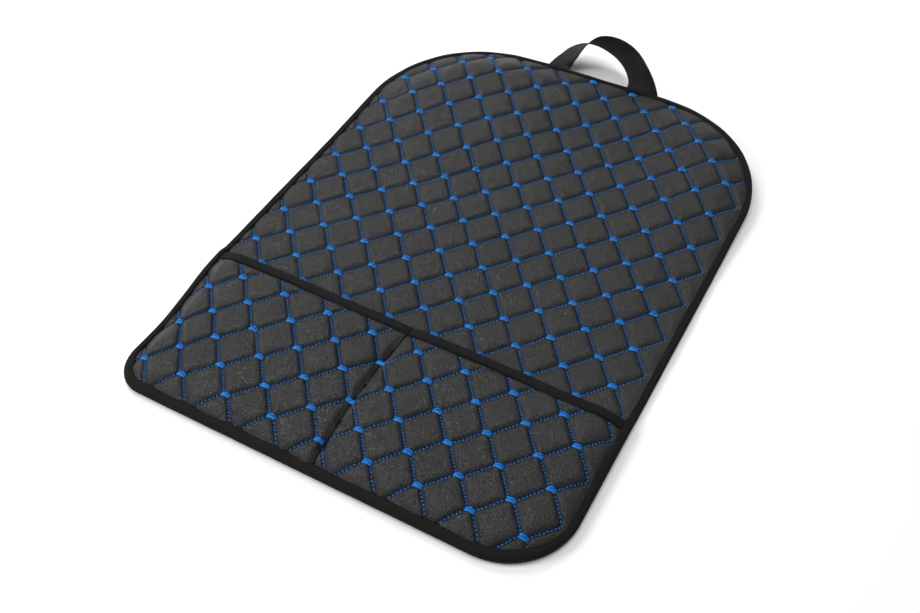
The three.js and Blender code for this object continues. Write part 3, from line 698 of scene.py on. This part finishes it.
def woven(name, dark, light, along, across, strength):
    """A tape's weave: yarns along and across, from the mesh's own lengths. Its colour is partly painted
    shade, darker in the weave's hollows, and partly broad random tone.
    """
    m = Nodes(name, gray((dark + light) / 2), 0.85)
    place = m.coordinates("UV", (1, 1, 1))
    warp = m.texture("ShaderNodeTexWave", place, Scale=across, bands_direction="Y", Distortion=0.6)
    weft = m.texture("ShaderNodeTexWave", place, Scale=along, bands_direction="X", Distortion=0.8)
    fuzz = m.texture("ShaderNodeTexNoise", place, Scale=1800.0, Detail=3.0)
    broad = m.texture("ShaderNodeTexNoise", place, Scale=60.0, Detail=2.0)
    weave = m.math("MULTIPLY", warp.outputs["Fac"], weft.outputs["Fac"])
    normal = m.bump(weave, strength, 0.0009)
    normal = m.bump(fuzz.outputs["Fac"], 0.25, 0.0004, normal)
    # Painted shade: the colour is darker where the weave's relief is low, mixed with broad random tone.
    weave_shade_and_tone = m.math("ADD", m.math("MULTIPLY", weave, 0.6), m.math("MULTIPLY", broad.outputs["Fac"], 0.4))
    color = m.ramp(weave_shade_and_tone, [(0.1, gray(dark)), (0.75, gray(light))])
    m.shader.inputs["Specular IOR Level"].default_value = 0.15
    return m.finish(normal, color)


def thread(name, dark, light, roughness):
    """Twisted sewing thread: darker lines of painted shade run slantwise round it, in the grooves of its
    twist.
    """
    m = Nodes(name, light, roughness)
    place = m.coordinates("UV", (1, 1, 1))
    twist_and_groove_shade = m.texture("ShaderNodeTexWave", place, Scale=330.0, bands_direction="DIAGONAL", Distortion=0.4)
    fuzz = m.texture("ShaderNodeTexNoise", place, Scale=1500.0, Detail=2.0)
    normal = m.bump(twist_and_groove_shade.outputs["Fac"], 0.5, 0.0005)
    normal = m.bump(fuzz.outputs["Fac"], 0.2, 0.0003, normal)
    # Painted shade: the colour is darker where the twist's bump is low.
    color = m.ramp(twist_and_groove_shade.outputs["Fac"], [(0.15, dark), (0.6, light)])
    m.shader.inputs["Specular IOR Level"].default_value = 0.2
    return m.finish(normal, color)


LEATHER = faux_leather()
BACKING = backing_cloth()
# In these materials the dark colour is a shaded copy of the light one, painted into the hollows of the
# weave or twist.
BINDING_TAPE = woven("binding_tape", dark=0.0045, light=0.012, along=190.0, across=150.0, strength=0.5)
WEBBING = woven("webbing", dark=0.014, light=0.03, along=130.0, across=160.0, strength=0.22)
BLUE_THREAD = thread("blue_thread", dark=(0.003, 0.13, 0.5), light=(0.006, 0.28, 0.88), roughness=0.5)
BLACK_THREAD = thread("black_thread", dark=gray(0.002), light=gray(0.005), roughness=0.8)


# The pieces

def back_border(x, y):
    return edge_distance(x, y) - PANEL_INSET, *settled(x, y, PANEL_INSET)


def back_under(x, y):
    """The mat's back: drawn up a little at the stitches, and higher inside the binding's fold."""
    d, _, _, _ = quilting(x, y, BACK_LATTICE)
    drawn = BACK_DRAW * np.exp(-((d / BACK_DRAW_REACH) ** 2))
    in_binding = smooth((BINDING_WIDTH + IN_BINDING_START - edge_distance(x, y)) / IN_BINDING_RUN)
    return lift(x, y) + OFF_TABLE + drawn * (1 - in_binding) + RIM_BOTTOM * in_binding


def back_panel():
    obj, leather_faces = quilted_slab(
        "back_mat", BACK_LATTICE, BACK_CUTS, back_border, back_top, back_under
    )
    material_of = np.ones(len(obj.data.polygons), int)
    material_of[:leather_faces] = 0
    obj.data.materials.append(LEATHER)
    obj.data.materials.append(BACKING)
    obj.data.polygons.foreach_set("material_index", material_of)
    turn_out(obj)
    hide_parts("back_panel")
    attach(obj, "root")


def pocket_border(x, y):
    """The pocket ends at the mat's edge and inside its hem."""
    end = MOUTH_Y - POCKET_END
    inside = np.minimum(edge_distance(x, y) - PANEL_INSET, end - y)
    return inside, *settled(x, np.minimum(y, end), PANEL_INSET)


def pocket_panel():
    obj, _ = quilted_slab(
        "pocket_front", POCKET_LATTICE, POCKET_CUTS, pocket_border, pocket_top, pocket_under
    )
    obj.data.materials.append(LEATHER)
    turn_out(obj)
    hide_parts("pocket_panel")
    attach(obj, "root")


def folded_section(width, height):
    """A tape folded over an edge, as distances in from the fold and heights, round its outside and back
    along its inside."""
    radius = height / 2
    bulge = min(radius, width * 0.5)
    turn = np.linspace(np.pi / 2, 3 * np.pi / 2, 11)
    upper_leaf = [(width, height - 0.25), (width * 0.8, height), (width * 0.65, height + 0.1)]

    def bend(turns, depth):
        across, up = bulge - depth, radius - depth
        return [(bulge + across * np.cos(a), radius + up * np.sin(a)) for a in turns]

    outer = upper_leaf + bend(turn, 0) + [(x, 0.0) for x, _ in upper_leaf[::-1]]
    inner = [(x, TAPE) for x, _ in upper_leaf] + bend(turn[::-1], TAPE)
    inner += [(x, z - TAPE) for x, z in upper_leaf[::-1]]
    return np.array(outer + inner)


def binding_height(y):
    """The folded tape is higher where it holds the pocket too."""
    return BINDING_HEIGHT + POCKET_BINDING_EXTRA * (1 - smooth((y - MOUTH_Y + 1) / POCKET_BINDING_RUN))


def binding_width(y):
    """The folded tape is broader along the mat's foot."""
    along_foot = smooth((-HALF_LENGTH + FOOT_BINDING_REACH - y) / FOOT_BINDING_RUN)
    return BINDING_WIDTH + FOOT_BINDING_EXTRA * along_foot


def edge_binding():
    """The tape folded over the mat's whole edge."""
    points, normals, run = edge_path(3.0)
    rings, uv = [], []
    for p, n, s in zip(points, normals, run):
        height = binding_height(p[1]) + waves(s, BINDING_HEIGHT_WAVES)
        width = binding_width(p[1]) + waves(s, BINDING_WIDTH_WAVES)
        section = folded_section(width, height)
        z = lift(p[0], p[1])
        place = p[None, :] - n[None, :] * section[:, :1]
        rings.append(np.column_stack([place, z + section[:, 1]]))
        uv.append(np.column_stack([np.full(len(section), s), run_along(section)]))
    obj = turn_out(swept("binding", rings, True, uv))
    obj.data.materials.append(BINDING_TAPE)
    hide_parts("edge_binding")
    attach(obj, "root")


def binding_seam():
    """The black stitches that hold the binding's upper leaf."""
    from_edge = 1.6
    pitch = 4.2
    length = 3.0
    first = 0.3
    points, normals, run = edge_path(1.0)
    inner = points - normals * (binding_width(points[:, 1:]) - from_edge)
    at = first + np.linspace(0, run[-1] - length, int(run[-1] / pitch))

    def places(s):
        return np.column_stack([np.interp(s, run, inner[:, axis]) for axis in (0, 1)])

    def top(x, y):
        return lift(x, y) + binding_height(y) + SEAM_OVER_TAPE

    starts, ends = places(at), places(at + length)
    obj = stitches("binding_seam", starts, ends, top, TAPE_SEAM_RADIUS, TAPE_SEAM_ARCH)
    obj.data.materials.append(BLACK_THREAD)
    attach(obj, "root")


def hem_base(x):
    """Height of the pocket's underside along its mouth."""
    return pocket_under(x, np.full_like(x, MOUTH_Y - HEM_WIDTH / 2))


def hem_height(x):
    """Height of the folded tape, which the divider's seam pinches."""
    return HEM_HEIGHT * (1 - HEM_PINCH * np.exp(-(((x - divider_x(MOUTH_Y)) / HEM_PINCH_REACH) ** 2)))


def pocket_hem():
    """The tape folded over the pocket's mouth."""
    end = HALF_WIDTH - BINDING_WIDTH - 0.2
    xs = np.linspace(-end, end, 260)
    base = hem_base(xs) - HEM_DROP
    rings, uv = [], []
    for x, z in zip(xs, base):
        height = hem_height(x) + waves(x, HEM_HEIGHT_WAVES)
        section = folded_section(HEM_WIDTH + waves(x, HEM_WIDTH_WAVES), height)
        mouth = MOUTH_Y + waves(x, HEM_LINE_WAVES)
        rings.append(np.column_stack([np.full(len(section), x), mouth - section[:, 0], z + section[:, 1]]))
        uv.append(np.column_stack([np.full(len(section), x), run_along(section)]))
    obj = turn_out(swept("hem_tape", rings, False, uv))
    obj.data.materials.append(BINDING_TAPE)
    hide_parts("pocket_hem_tape")
    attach(obj, "root")


def hem_top(x, y):
    return hem_base(x) - HEM_DROP + hem_height(x)


def hem_seam():
    """The black stitches that hold the hem's upper leaf."""
    from_edge = 1.8
    pitch = 4.0
    length = 3.1
    at = np.arange(-210.0, 208.0, pitch)
    y = np.full_like(at, MOUTH_Y - HEM_WIDTH + from_edge)
    starts = np.column_stack([at, y])
    ends = np.column_stack([at + length, y])
    obj = stitches("hem_seam", starts, ends, hem_top, TAPE_SEAM_RADIUS, TAPE_SEAM_ARCH)
    obj.data.materials.append(BLACK_THREAD)
    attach(obj, "root")


def valley_stitches():
    """The black stitches down the divider's valley, which go a little from side to side."""
    pitch = 2.9
    length = 3.1
    aside = 0.5
    wander = 0.3
    ys = np.arange(2.0 + BINDING_WIDTH - HALF_LENGTH, MOUTH_Y - HEM_WIDTH - 1, pitch)
    side = aside * (-1) ** np.arange(len(ys)) + rng.normal(0, wander, len(ys))
    starts = np.column_stack([divider_x(ys) - side, ys])
    ends = np.column_stack([divider_x(ys + length) + side, ys + length])
    return stitches("divider_stitches", starts, ends, pocket_top, 1.0, 0.6, sink=-1.2, taper=0.7)


def bar_stitches(bar_x):
    """The bar of close stitches over the hem."""
    count = 4
    pitch = 0.65
    slant = 0.3
    starts, ends = [], []
    for k in range(count):
        x = bar_x - 1.0 + pitch * k
        starts.append((x, MOUTH_Y - HEM_WIDTH - 0.5))
        ends.append((x + slant, MOUTH_Y - 0.6))
    return stitches("divider_bar", starts, ends, lambda x, y: hem_top(x, y) + 0.1, 0.45, 0.35, rings=7)


def loose_end(bar_x):
    """The thread's end, which stands up from the pocket's mouth."""
    turn = np.linspace(0, 2 * np.pi, 8, endpoint=False)
    start = np.array([bar_x, MOUTH_Y - 0.5, float(hem_top(bar_x, MOUTH_Y)) + 0.2])
    rings = []
    for t in np.linspace(0, 1, 14):
        centre = start + np.array([2.2 * np.sin(2.2 * t), 5.5 * t, 5.5 * t - 3.0 * t * t])
        radius = 0.34 - 0.1 * t
        rings.append([centre + radius * np.array([np.cos(a), 0.5 * np.sin(a), np.sin(a)]) for a in turn])
    return turn_out(swept("thread_end", rings, False))


def divider_seam():
    bar_x = divider_x(MOUTH_Y)
    valley, bar, tail = valley_stitches(), bar_stitches(bar_x), loose_end(bar_x)
    for obj in (valley, bar, tail):
        obj.data.materials.append(BLACK_THREAD)
        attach(obj, "root")
    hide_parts("divider_seam")


def through(guides, count):
    """A smooth run of count places through the guides."""
    g = np.array(guides, float)
    g = np.vstack([2 * g[0] - g[1], g, 2 * g[-1] - g[-2]])
    t = np.linspace(0, len(guides) - 1 - 1e-9, count)
    k = t.astype(int)
    u = (t - k)[:, None]
    a, b, c, d = g[k], g[k + 1], g[k + 2], g[k + 3]
    square = 2 * a - 5 * b + 4 * c - d
    cube = 3 * b - a - 3 * c + d
    return 0.5 * (2 * b + (c - a) * u + square * u**2 + cube * u**3)


def webbing_loop():
    """The webbing at the head, which turns over once."""
    centre = through([g[0] for g in WEBBING_GUIDES], WEBBING_STEPS)
    breadth = through([g[1] for g in WEBBING_GUIDES], WEBBING_STEPS)
    half_width = through([(g[2],) for g in WEBBING_GUIDES], WEBBING_STEPS)
    breadth /= np.linalg.norm(breadth, axis=1, keepdims=True)
    tangent = np.gradient(centre, axis=0)
    normal = np.cross(breadth, tangent)
    normal /= np.linalg.norm(normal, axis=1, keepdims=True)
    run = run_along(centre)
    side = np.linspace(-1, 1, 17)
    half = WEBBING_THICKNESS / 2 * (1 - WEBBING_EDGE_THINNING * np.abs(side) ** 12)
    cup = WEBBING_CUP * (side**2 - 0.4)
    section = [(s, c + h) for s, c, h in zip(side, cup, half)]
    section += [(s, c - h) for s, c, h in zip(side[::-1], cup[::-1], half[::-1])]
    section = np.array(section)
    rings = centre[:, None] + breadth[:, None] * (half_width * section[:, 0])[:, :, None]
    rings = rings + normal[:, None] * section[None, :, 1:2]
    v = run_along(section * (half_width.max(), 1))
    uv = np.stack([np.repeat(run[:, None], len(section), 1), np.repeat(v[None], WEBBING_STEPS, 0)], -1)
    obj = turn_out(swept("webbing", rings, False, uv))
    obj.data.materials.append(WEBBING)
    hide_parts("webbing_loop")
    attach(obj, "root")


def on_back(x, y):
    return edge_distance(x, y) > BINDING_WIDTH + 0.2 and y > MOUTH_Y - HEM_WIDTH


def on_pocket(x, y):
    return edge_distance(x, y) > BINDING_WIDTH + 0.8 and y < MOUTH_Y - HEM_WIDTH + 0.3


back_panel()
pocket_panel()
back_thread = quilting_stitches(
    "back_stitches", BACK_LATTICE, on_back, back_top, BLUE_THREAD
)
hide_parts("back_quilting_thread")
pocket_thread = quilting_stitches(
    "pocket_stitches", POCKET_LATTICE, on_pocket, pocket_top, BLUE_THREAD
)
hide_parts("pocket_quilting_thread")
edge_binding()
binding_seam()
pocket_hem()
hem_seam()
divider_seam()
webbing_loop()


# The studio: a white floor and soft light from above

def floor():
    mesh = bpy.data.meshes.new("floor")
    corners = [(x * FLOOR_HALF, y * FLOOR_HALF, 0) for x, y in ((-1, -1), (1, -1), (1, 1), (-1, 1))]
    mesh.from_pydata(corners, [], [(0, 1, 2, 3)])
    obj = add_object("floor", mesh)
    material = bpy.data.materials.new("floor")
    material.use_nodes = True
    shader = material.node_tree.nodes["Principled BSDF"]
    shader.inputs["Base Color"].default_value = (*gray(FLOOR_WHITE), 1)
    shader.inputs["Roughness"].default_value = 0.9
    shader.inputs["Specular IOR Level"].default_value = 0.1
    mesh.materials.append(material)
    obj.location.z = -FLOOR_DROP


def area_light(name, location, size, power, target):
    data = bpy.data.lights.new(name, "AREA")
    data.shape = "RECTANGLE"
    data.size = size
    data.size_y = size
    data.energy = power
    obj = add_object(name, data)
    obj.location = location
    obj.rotation_euler = (Vector(target) - Vector(location)).to_track_quat("-Z", "Y").to_euler()


def sky_light(name, strength):
    """Broad soft light from straight above, the same all over the floor."""
    data = bpy.data.lights.new(name, "SUN")
    data.energy = strength
    data.angle = SKY_ANGLE
    add_object(name, data)


def world():
    """Dim even light from all round, on a backdrop that the camera sees as white."""
    scene_world = bpy.data.worlds.new("studio")
    bpy.context.scene.world = scene_world
    scene_world.use_nodes = True
    tree = scene_world.node_tree
    background = tree.nodes["Background"]
    background.inputs["Color"].default_value = (1, 1, 1, 1)
    seen = tree.nodes.new("ShaderNodeLightPath")
    strength = tree.nodes.new("ShaderNodeMapRange")
    strength.inputs["To Min"].default_value = WORLD_STRENGTH
    strength.inputs["To Max"].default_value = 1.0
    tree.links.new(seen.outputs["Is Camera Ray"], strength.inputs["Value"])
    tree.links.new(strength.outputs["Result"], background.inputs["Strength"])


def camera():
    data = bpy.data.cameras.new("camera")
    data.lens = LENS_MM
    data.sensor_width = 36
    data.clip_start = 0.01
    obj = add_object("camera", data)
    right = Vector(PICTURE_RIGHT).normalized()
    up = -Vector(PICTURE_DOWN)
    up = (up - right * up.dot(right)).normalized()
    back = right.cross(up)
    turn = Matrix((right, up, back)).transposed().to_4x4()
    obj.matrix_world = Matrix.Translation(CAMERA_AT) @ turn
    bpy.context.scene.camera = obj


floor()
world()
area_light("window", location=(-1.4, 1.0, 1.3), size=0.9, power=26, target=(0, 0.05, 0))
area_light("front", location=(-1.3, -1.0, 0.9), size=0.6, power=15, target=(0, -0.1, 0))
sky_light("overhead", strength=1.6)
camera()
bpy.context.scene.view_settings.view_transform = "Standard"
